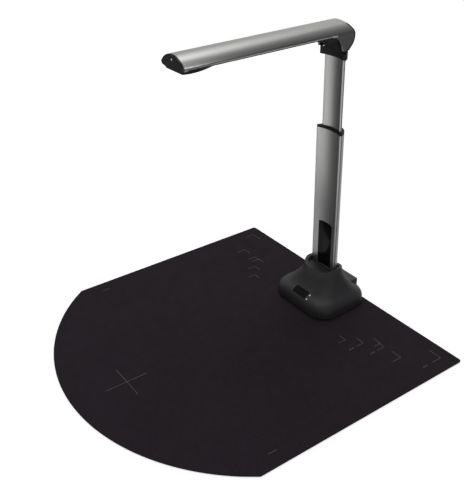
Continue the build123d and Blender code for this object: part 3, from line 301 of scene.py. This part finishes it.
def indicator_material(name, strength):
    """Clear lens of a small lamp, slightly frosted, lit at that strength."""
    s = Shade(name, Emission_Strength=strength, IOR=1.5)
    glow = s.blend(s.spread(s.noise(1500, 2), 0, 1), (0.78, 0.84, 0.92), (0.94, 0.97, 1.0))
    s.colour(glow)
    s.join(glow, s.shader, "Emission Color")
    s.roughness(s.spread(s.noise(900), 0.12, 0.22))
    return s.relief((s.cells(1800), 0.00004))


def flex_material():
    """Amber film with copper tracks along it."""
    s = Shade("flex")
    tracks = s.spread(s.waves(900, "X"), 0, 1, 0.45, 0.55)
    s.colour(s.blend(tracks, (0.38, 0.17, 0.03), (0.55, 0.30, 0.08)))
    s.roughness(s.spread(s.noise(500), 0.25, 0.4))
    return s.relief((s.waves(900, "X"), 0.00003))


def chip_material():
    """Moulded black epoxy."""
    s = Shade("chip", Specular_IOR_Level=0.4)
    s.colour(s.blend(s.spread(s.noise(700, 3), 0, 1), (0.014, 0.014, 0.015), (0.030, 0.030, 0.031)))
    s.roughness(s.spread(s.noise(1100), 0.5, 0.68))
    return s.relief((s.noise(2600, 3), 0.00003), edge=0.0003)


BRUSHED_UP = (1500, 1500, 9)
BRUSHED_ALONG = (1500, 9, 1500)

slot_materials = {
    "black_plastic": black_plastic_material("black_plastic", 0.42, 0.048),
    "gloss_black": gloss_black_material("gloss_black", 0.35, 0.024),
    "anodised": anodised_material("anodised_column", BRUSHED_UP),
    "steel": steel_material(),
    "iron": iron_material(),
    "board": board_material(),
    "foot_rubber": rubber_material(),
    "acetal": acetal_material(),
    "brass": brass_material(),
    "glass": glass_material(),
    "lamp_white": lamp_white_material(),
    "indicator": indicator_material("indicator", 0.25),
    "flex": flex_material(),
    "chip": chip_material(),
    "mat": mat_sheet_material(),
}
arm_metal = anodised_material("anodised_arm", BRUSHED_ALONG)


def dress(obj, shade):
    """Gives every material slot of obj this material."""
    if not obj.data.materials:
        obj.data.materials.append(None)
    for index in range(len(obj.data.materials)):
        obj.data.materials[index] = shade.material


for part in frame["record"]["subparts"]:
    dress(frame["nodes"][part["node"]], slot_materials[part["material_slot"]])
for name in ("arm_shell", "pin_cover"):
    dress(frame["nodes"][name], arm_metal)
deep_black = black_plastic_material("deep_black", 0.25, 0.011)
for name in ("column_head", "hinge_block", "column_collar", "arm_rear_cap", "arm_tray", "camera_pod"):
    dress(frame["nodes"][name], deep_black)
smoked_black = gloss_black_material("smoked_black", 0.12, 0.006)
for name in ("scan_button", "column_panel"):
    dress(frame["nodes"][name], smoked_black)
dress(frame["nodes"]["tip_indicator"], indicator_material("indicator_unlit", 0.0))


def add_object(name, mesh, shade):
    """Adds a mesh to the scene as an object in one material."""
    data = bpy.data.meshes.new(name)
    mesh.to_mesh(data)
    mesh.free()
    made = bpy.data.objects.new(name, data)
    bpy.context.scene.collection.objects.link(made)
    dress(made, shade)
    return made


def piece(name, mesh, shade, body, smooth=True):
    """Adds a mesh to the scene as a piece that rides on a body."""
    bmesh.ops.recalc_face_normals(mesh, faces=mesh.faces)
    made = add_object(name, mesh, shade)
    for face in made.data.polygons:
        face.use_smooth = smooth
    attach(made, body)
    return made


# --- Mat --------------------------------------------------------------------------------------

mat_low, mat_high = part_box("scan_mat")
MAT_HALF_WIDTH = mat_high.x
MAT_BACK = mat_high.y
MAT_FRONT = mat_low.y
MAT_TOP = mat_high.z
MAT_SIDE_END = -299 * MM
MAT_CORNER_R = 4 * MM
MAT_EDGE_R = 0.8 * MM
MAT_FRONT_DROP = MAT_SIDE_END - MAT_FRONT
MAT_FRONT_R = (MAT_HALF_WIDTH**2 + MAT_FRONT_DROP**2) / (2 * MAT_FRONT_DROP)
MAT_MIDDLE = Vector((0, (MAT_BACK + MAT_SIDE_END) / 2))
MAT_RINGS = 16
MAT_RIM_INSETS = (2, 4, 7, 11, 16, 22, 30)
MAT_POINT_GAP = 6 * MM
MAT_LEVEL_R = 90 * MM
MAT_LEVEL_FADE = 80 * MM
MAT_WAVE_DEPTH = 0.16 * MM
FRONT_ARC_HALF_STEPS = 40


def corner_arc(corner, before, after, radius, steps=8):
    """Points that round off the corner between the directions before and after it."""
    to_before, to_after = (before - corner).normalized(), (after - corner).normalized()
    half = to_before.angle(to_after) / 2
    back = radius / math.tan(half)
    centre = corner + (to_before + to_after).normalized() * (radius / math.sin(half))
    start, end = corner + to_before * back - centre, corner + to_after * back - centre
    return [centre + start.slerp(end, i / steps).normalized() * radius for i in range(steps + 1)]


def mat_outline():
    """The mat's plan: square back corners, straight sides, and a round front."""
    centre = Vector((0, MAT_FRONT + MAT_FRONT_R))
    swing = math.asin(MAT_HALF_WIDTH / MAT_FRONT_R)
    front = [
        centre + Vector((math.sin(a), -math.cos(a))) * MAT_FRONT_R
        for a in (swing * (i / FRONT_ARC_HALF_STEPS - 1) for i in range(2 * FRONT_ARC_HALF_STEPS + 1))
    ]
    back = [Vector((MAT_HALF_WIDTH, MAT_BACK)), Vector((-MAT_HALF_WIDTH, MAT_BACK))]
    points = front[3:-3]
    points += corner_arc(front[-1], front[-3], back[0], MAT_CORNER_R)
    points += corner_arc(back[0], front[-1], back[1], MAT_CORNER_R)
    points += corner_arc(back[1], back[0], front[0], MAT_CORNER_R)
    points += corner_arc(front[0], back[1], front[2], MAT_CORNER_R)
    return points


def evenly(points, step):
    """The closed outline through points, with extra points so that none are further apart than step."""
    dense = []
    for here, there in zip(points, points[1:] + points[:1]):
        count = max(1, math.ceil((there - here).length / step))
        dense += [here.lerp(there, i / count) for i in range(count)]
    return dense


def mat_height(x, y):
    """Top of the mat: level under the base and very slightly wavy elsewhere."""
    away = min(1.0, max(0.0, (Vector((x, y)).length - MAT_LEVEL_R) / MAT_LEVEL_FADE))
    wave = noise.noise(Vector((x * 14, y * 14, 0.3))) + 0.5 * noise.noise(Vector((x * 37, y * 37, 4.1)))
    return MAT_TOP - MAT_WAVE_DEPTH * away * (0.5 + 0.5 * wave)


def build_mat():
    outline = evenly(mat_outline(), MAT_POINT_GAP)
    mesh = bmesh.new()

    def ring(inset, height):
        loop = []
        for point in outline:
            radial = point - MAT_MIDDLE
            place = MAT_MIDDLE + radial * (1 - inset / radial.length)
            z = height if height is not None else mat_height(place.x, place.y)
            loop.append(mesh.verts.new((place.x, place.y, z)))
        return loop

    loops = [ring(MAT_EDGE_R * 0.4, 0.0), ring(0.0, MAT_EDGE_R * 0.4)]
    for step in range(4):
        turn = math.radians(step * 30)
        depth = MAT_EDGE_R * (1 - math.cos(turn))
        loops.append(ring(depth, MAT_TOP - MAT_EDGE_R * (1 - math.sin(turn))))
    for inset in MAT_RIM_INSETS:
        loops.append(ring(inset * MM, None))
    border = [v.co.xy for v in loops[-1]]
    for step in range(1, MAT_RINGS):
        places = [p.lerp(MAT_MIDDLE, step / MAT_RINGS) for p in border]
        loops.append([mesh.verts.new((*p, mat_height(*p))) for p in places])
    for low, high in zip(loops, loops[1:]):
        for i in range(len(outline)):
            j = (i + 1) % len(outline)
            mesh.faces.new((low[i], low[j], high[j], high[i]))
    middle = mesh.verts.new((*MAT_MIDDLE, mat_height(*MAT_MIDDLE)))
    underside = mesh.verts.new((*MAT_MIDDLE, 0))
    for i in range(len(outline)):
        j = (i + 1) % len(outline)
        mesh.faces.new((loops[-1][i], loops[-1][j], middle))
        mesh.faces.new((loops[0][j], loops[0][i], underside))
    return mesh


mat = piece("mat_sheet", build_mat(), slot_materials["mat"], "stand")
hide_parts("scan_mat")

# Printed marks: the back corners of paper formats, centred on the mat's middle line, and an aiming cross.
PRINT_WIDTH = 0.7 * MM
PRINT_HEIGHT = 0.04 * MM
# In mm: half width of the format, its back edge, the lengths of the mark's two legs, and how far
# below the mark its label is on the right, or 0 where it has none
FORMATS = [
    (105.0, -57.0, 12, 12, 0),
    (125.0, -42.0, 13, 13, 18),
    (139.7, -23.5, 14, 13, 0),
    (148.5, -25.0, 13, 13, 18),
    (177.8, -24.0, 16, 15, 0),
    (210.0, 18.0, 20, 17, 26),
]
CROSS_CENTRE = Vector((1 * MM, -343.5 * MM))
CROSS_SPAN = 60 * MM
LABEL_DASH = Vector((1.5 * MM, 3.0 * MM))
LABEL_PITCH = 4.4 * MM
LABEL_DASHES = 2
# In mm: half distance between the front marks, their back end and their length
FRONT_MARK = (210.0, -260.0, 13)


def add_stroke(mesh, start, end, width=PRINT_WIDTH):
    """A flat ribbon of ink from start to end, just proud of the mat and following it."""
    along = (end - start).normalized()
    side = Vector((-along.y, along.x)) * width / 2
    steps = max(1, round((end - start).length / MAT_POINT_GAP))
    rows = []
    for i in range(steps + 1):
        place = start.lerp(end, i / steps)
        corners = [place - side, place + side]
        levels = [mat_height(c.x, c.y) for c in corners]
        rows.append(
            [mesh.verts.new((c.x, c.y, z + PRINT_HEIGHT)) for c, z in zip(corners, levels)]
            + [mesh.verts.new((c.x, c.y, z - PRINT_HEIGHT)) for c, z in zip(corners, levels)]
        )
    for (a, b, c, d), (e, f, g, h) in zip(rows, rows[1:]):
        for quad in ((a, b, f, e), (c, g, h, d), (a, e, g, c), (b, d, h, f)):
            mesh.faces.new(quad)
    for a, b, c, d in (rows[0], rows[-1]):
        mesh.faces.new((a, c, d, b))


def build_marks():
    mesh = bmesh.new()
    for half_width, back, across, down, below in FORMATS:
        for hand in (-1, 1):
            corner = Vector((hand * half_width, back)) * MM
            add_stroke(mesh, corner, corner - Vector((hand * across * MM, 0)))
            add_stroke(mesh, corner, corner - Vector((0, down * MM)))
        for dash in range(LABEL_DASHES if below else 0):
            top = Vector((half_width, back)) * MM - Vector((0, below * MM + dash * LABEL_PITCH))
            add_stroke(mesh, top, top - Vector((0, LABEL_DASH.y)), LABEL_DASH.x)
    half_width, back, down = FRONT_MARK
    for hand in (-1, 1):
        top = Vector((hand * half_width, back)) * MM
        add_stroke(mesh, top, top - Vector((0, down * MM)))
    for direction in (Vector((1, 0)), Vector((0, 1))):
        reach = direction * CROSS_SPAN / 2
        add_stroke(mesh, CROSS_CENTRE - reach, CROSS_CENTRE + reach)
    return mesh


marks = piece("mat_marks", build_marks(), mat_print_material(), "stand", smooth=False)

# --- Floor, light and camera ------------------------------------------------------------------

FLOOR_SPAN = 14.0
FLOOR_DROP = 0.1 * MM
BACKDROP_R = 6.5
BACKDROP_SINK = 0.2
BACKDROP_HEIGHT = 9.0


def build_floor():
    """A plain pale floor, just under the mat."""
    mesh = bmesh.new()
    bmesh.ops.create_grid(mesh, x_segments=8, y_segments=8, size=FLOOR_SPAN / 2)
    s = Shade("floor_paint", Specular_IOR_Level=0.1, Emission_Strength=0.55)
    s.shader.inputs["Emission Color"].default_value = (1, 1, 1, 1)
    s.colour(s.blend(s.spread(s.noise(2, 2), 0, 1), (0.86, 0.86, 0.86), (0.88, 0.88, 0.88)))
    s.roughness(s.spread(s.noise(40), 0.8, 0.9))
    floor = add_object("floor", mesh, s)
    floor.location.z = -FLOOR_DROP
    floor.visible_glossy = False


build_floor()


def build_backdrop():
    """A plain pale wall far behind the object on every side, which neither lights nor shades it."""
    mesh = bmesh.new()
    bmesh.ops.create_cone(
        mesh, segments=96, radius1=BACKDROP_R, radius2=BACKDROP_R, depth=BACKDROP_HEIGHT, cap_ends=False
    )
    s = Shade("backdrop_paint", Specular_IOR_Level=0.0, Emission_Strength=1.0)
    paint = s.blend(s.spread(s.noise(0.3, 2), 0, 1), (0.93, 0.93, 0.93), (0.98, 0.98, 0.98))
    s.colour(paint)
    s.join(paint, s.shader, "Emission Color")
    backdrop = add_object("backdrop", mesh, s)
    backdrop.location.z = BACKDROP_HEIGHT / 2 - BACKDROP_SINK
    for ray in ("diffuse", "glossy", "transmission", "volume_scatter", "shadow"):
        setattr(backdrop, "visible_" + ray, False)


build_backdrop()


def aim(obj, back, roll=0.0):
    """Turns obj to look against the direction back, rolled about it."""
    obj.rotation_mode = "QUATERNION"
    obj.rotation_quaternion = Quaternion(back, roll) @ (-back).to_track_quat("-Z", "Y")


def add_sun(name, towards, strength, spread_degrees):
    """A soft sun that stands in the direction towards."""
    light = bpy.data.lights.new(name, "SUN")
    light.energy = strength
    light.angle = math.radians(spread_degrees)
    lamp = bpy.data.objects.new(name, light)
    bpy.context.scene.collection.objects.link(lamp)
    aim(lamp, Vector(towards).normalized())


add_sun("key", (-0.30, 0.20, 1.0), 0.9, 40)

# Soft boxes round the object, which the metal and the plastics reflect
# (direction, half angle at full strength, half angle where it ends, strength)
SOFT_BOXES = [
    ((-0.70, 0.45, 0.55), 10, 60, 0.38),
    ((-0.16, -0.86, -0.50), 4, 38, 1.00),
    ((0.54, -0.68, -0.50), 3, 26, 0.85),
    ((0.30, -0.30, 1.0), 10, 50, 0.30),
    ((-0.05, 0.45, -0.89), 10, 34, 1.30),
    ((-0.35, 0.92, -0.15), 10, 46, 0.50),
    ((0.93, -0.30, -0.10), 8, 42, 0.50),
]
AMBIENT = 0.075


def build_world():
    """Even light from all round, with the soft boxes added to it."""
    world = bpy.data.worlds.new("studio")
    world.use_nodes = True
    bpy.context.scene.world = world
    tree = world.node_tree
    direction = tree.nodes.new("ShaderNodeTexCoord").outputs["Generated"]
    total = None
    for axis, inner, outer, strength in SOFT_BOXES:
        facing = tree.nodes.new("ShaderNodeVectorMath")
        facing.operation = "DOT_PRODUCT"
        facing.inputs[1].default_value = Vector(axis).normalized()
        tree.links.new(direction, facing.inputs[0])
        glow = tree.nodes.new("ShaderNodeMapRange")
        glow.interpolation_type = "SMOOTHSTEP"
        glow.inputs["From Min"].default_value = math.cos(math.radians(outer))
        glow.inputs["From Max"].default_value = math.cos(math.radians(inner))
        glow.inputs["To Max"].default_value = strength
        tree.links.new(facing.outputs["Value"], glow.inputs["Value"])
        added = tree.nodes.new("ShaderNodeMath")
        added.inputs[0].default_value = AMBIENT
        if total:
            tree.links.new(total, added.inputs[0])
        tree.links.new(glow.outputs["Result"], added.inputs[1])
        total = added.outputs["Value"]
    tree.links.new(total, tree.nodes["Background"].inputs["Strength"])
    tree.nodes["Background"].inputs["Color"].default_value = (1, 1, 1, 1)


build_world()


def add_card(name, place, facing, width, length, brightness, spread_degrees=180):
    """A soft lit card at place that shines in the direction facing, and isn't in the picture itself."""
    light = bpy.data.lights.new(name, "AREA")
    light.shape = "RECTANGLE"
    light.size = width
    light.size_y = length
    light.energy = brightness * math.pi * width * length
    light.spread = math.radians(spread_degrees)
    card = bpy.data.objects.new(name, light)
    card.location = place
    card.visible_camera = False
    bpy.context.scene.collection.objects.link(card)
    aim(card, -Vector(facing).normalized())


# White pages where a book lies, seen in the column, and a small card over the arm's tip
add_card("page_glow", (0.02, -0.20, 0.02), (0, 0, 1), 0.26, 0.26, 0.5)
add_card("tip_glow", (0.156, -0.20, 0.505), (-0.68, -0.49, -0.545), 0.11, 0.10, 0.75, 80)

CAMERA_PLACE = (0.7023, -0.6531, 0.6459)
CAMERA_AZIMUTH = math.radians(55.55)
CAMERA_ELEVATION = math.radians(30.05)
CAMERA_ROLL = math.radians(-1.49)

lens = bpy.data.cameras.new("camera")
lens.lens = 56.08
lens.sensor_width = 36.0
lens.clip_end = 60
camera = bpy.data.objects.new("camera", lens)
camera.location = CAMERA_PLACE
level = math.cos(CAMERA_ELEVATION)
aim(
    camera,
    Vector(
        (
            math.sin(CAMERA_AZIMUTH) * level,
            -math.cos(CAMERA_AZIMUTH) * level,
            math.sin(CAMERA_ELEVATION),
        )
    ),
    CAMERA_ROLL,
)
bpy.context.scene.collection.objects.link(camera)
bpy.context.scene.camera = camera
bpy.context.scene.view_settings.view_transform = "Standard"
